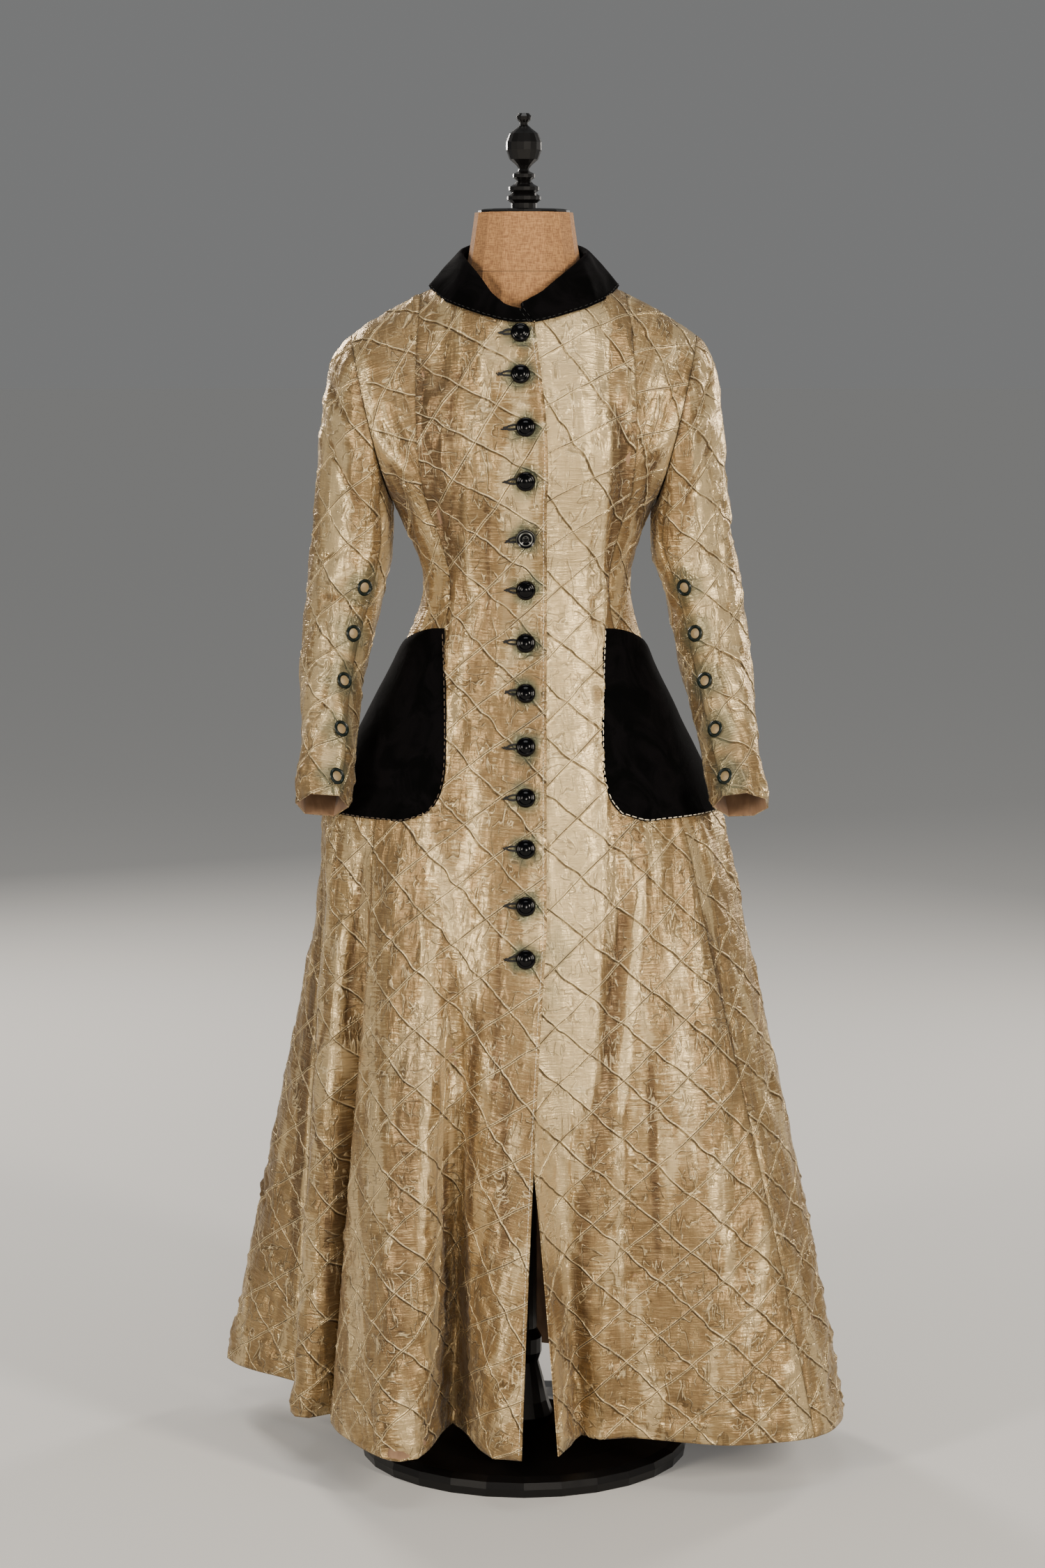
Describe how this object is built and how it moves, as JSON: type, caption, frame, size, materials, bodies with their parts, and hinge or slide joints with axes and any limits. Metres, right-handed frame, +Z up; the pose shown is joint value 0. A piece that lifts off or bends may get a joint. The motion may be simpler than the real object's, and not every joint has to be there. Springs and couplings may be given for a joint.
{
  "type": "long coat on a limbless dress form",
  "caption": "Floor-length quilted silk coat with a fitted waist, flared pleated skirt, velvet collar and patch pockets, buttoned down the front, worn by a limbless dress form on a turned stand.",
  "frame": {"origin": "on the floor, at the middle of the underside of the stand's base", "axes": "+Z up; the coat's front faces -Y; the wearer's left is +X"},
  "size_m": [0.7703, 0.5073, 1.621],
  "materials": {
    "silk": "champagne gold silk taffeta, quilted in diamonds",
    "velvet": "black velvet",
    "button": "polished black",
    "ring": "dark grey-green rim",
    "linen": "brown linen cover",
    "lacquer": "black lacquer"
  },
  "bodies": {
    "root": {"front_right": "silk", "side_front_right": "silk", "side_back_right": "silk", "back_right": "silk", "front_left": "silk", "side_front_left": "silk", "side_back_left": "silk", "back_left": "silk", "upper_sleeve_right": "silk", "under_sleeve_right": "silk", "upper_sleeve_left": "silk", "under_sleeve_left": "silk", "pocket_right": "velvet", "pocket_left": "velvet", "collar": "velvet", "front_button_01": "button", "front_button_02": "button", "front_button_03": "button", "front_button_04": "button", "front_button_05": "button", "front_button_06": "button", "front_button_07": "button", "front_button_08": "button", "front_button_09": "button", "front_button_10": "button", "front_button_11": "button", "front_button_12": "button", "front_button_13": "button", "cuff_ring_right_1": "ring", "cuff_ring_right_2": "ring", "cuff_ring_right_3": "ring", "cuff_ring_right_4": "ring", "cuff_ring_right_5": "ring", "cuff_ring_left_1": "ring", "cuff_ring_left_2": "ring", "cuff_ring_left_3": "ring", "cuff_ring_left_4": "ring", "cuff_ring_left_5": "ring", "dress_form": "linen", "neck_cap": "lacquer", "finial": "lacquer", "pole": "lacquer", "stand_base": "lacquer"}
  },
  "joints": []
}
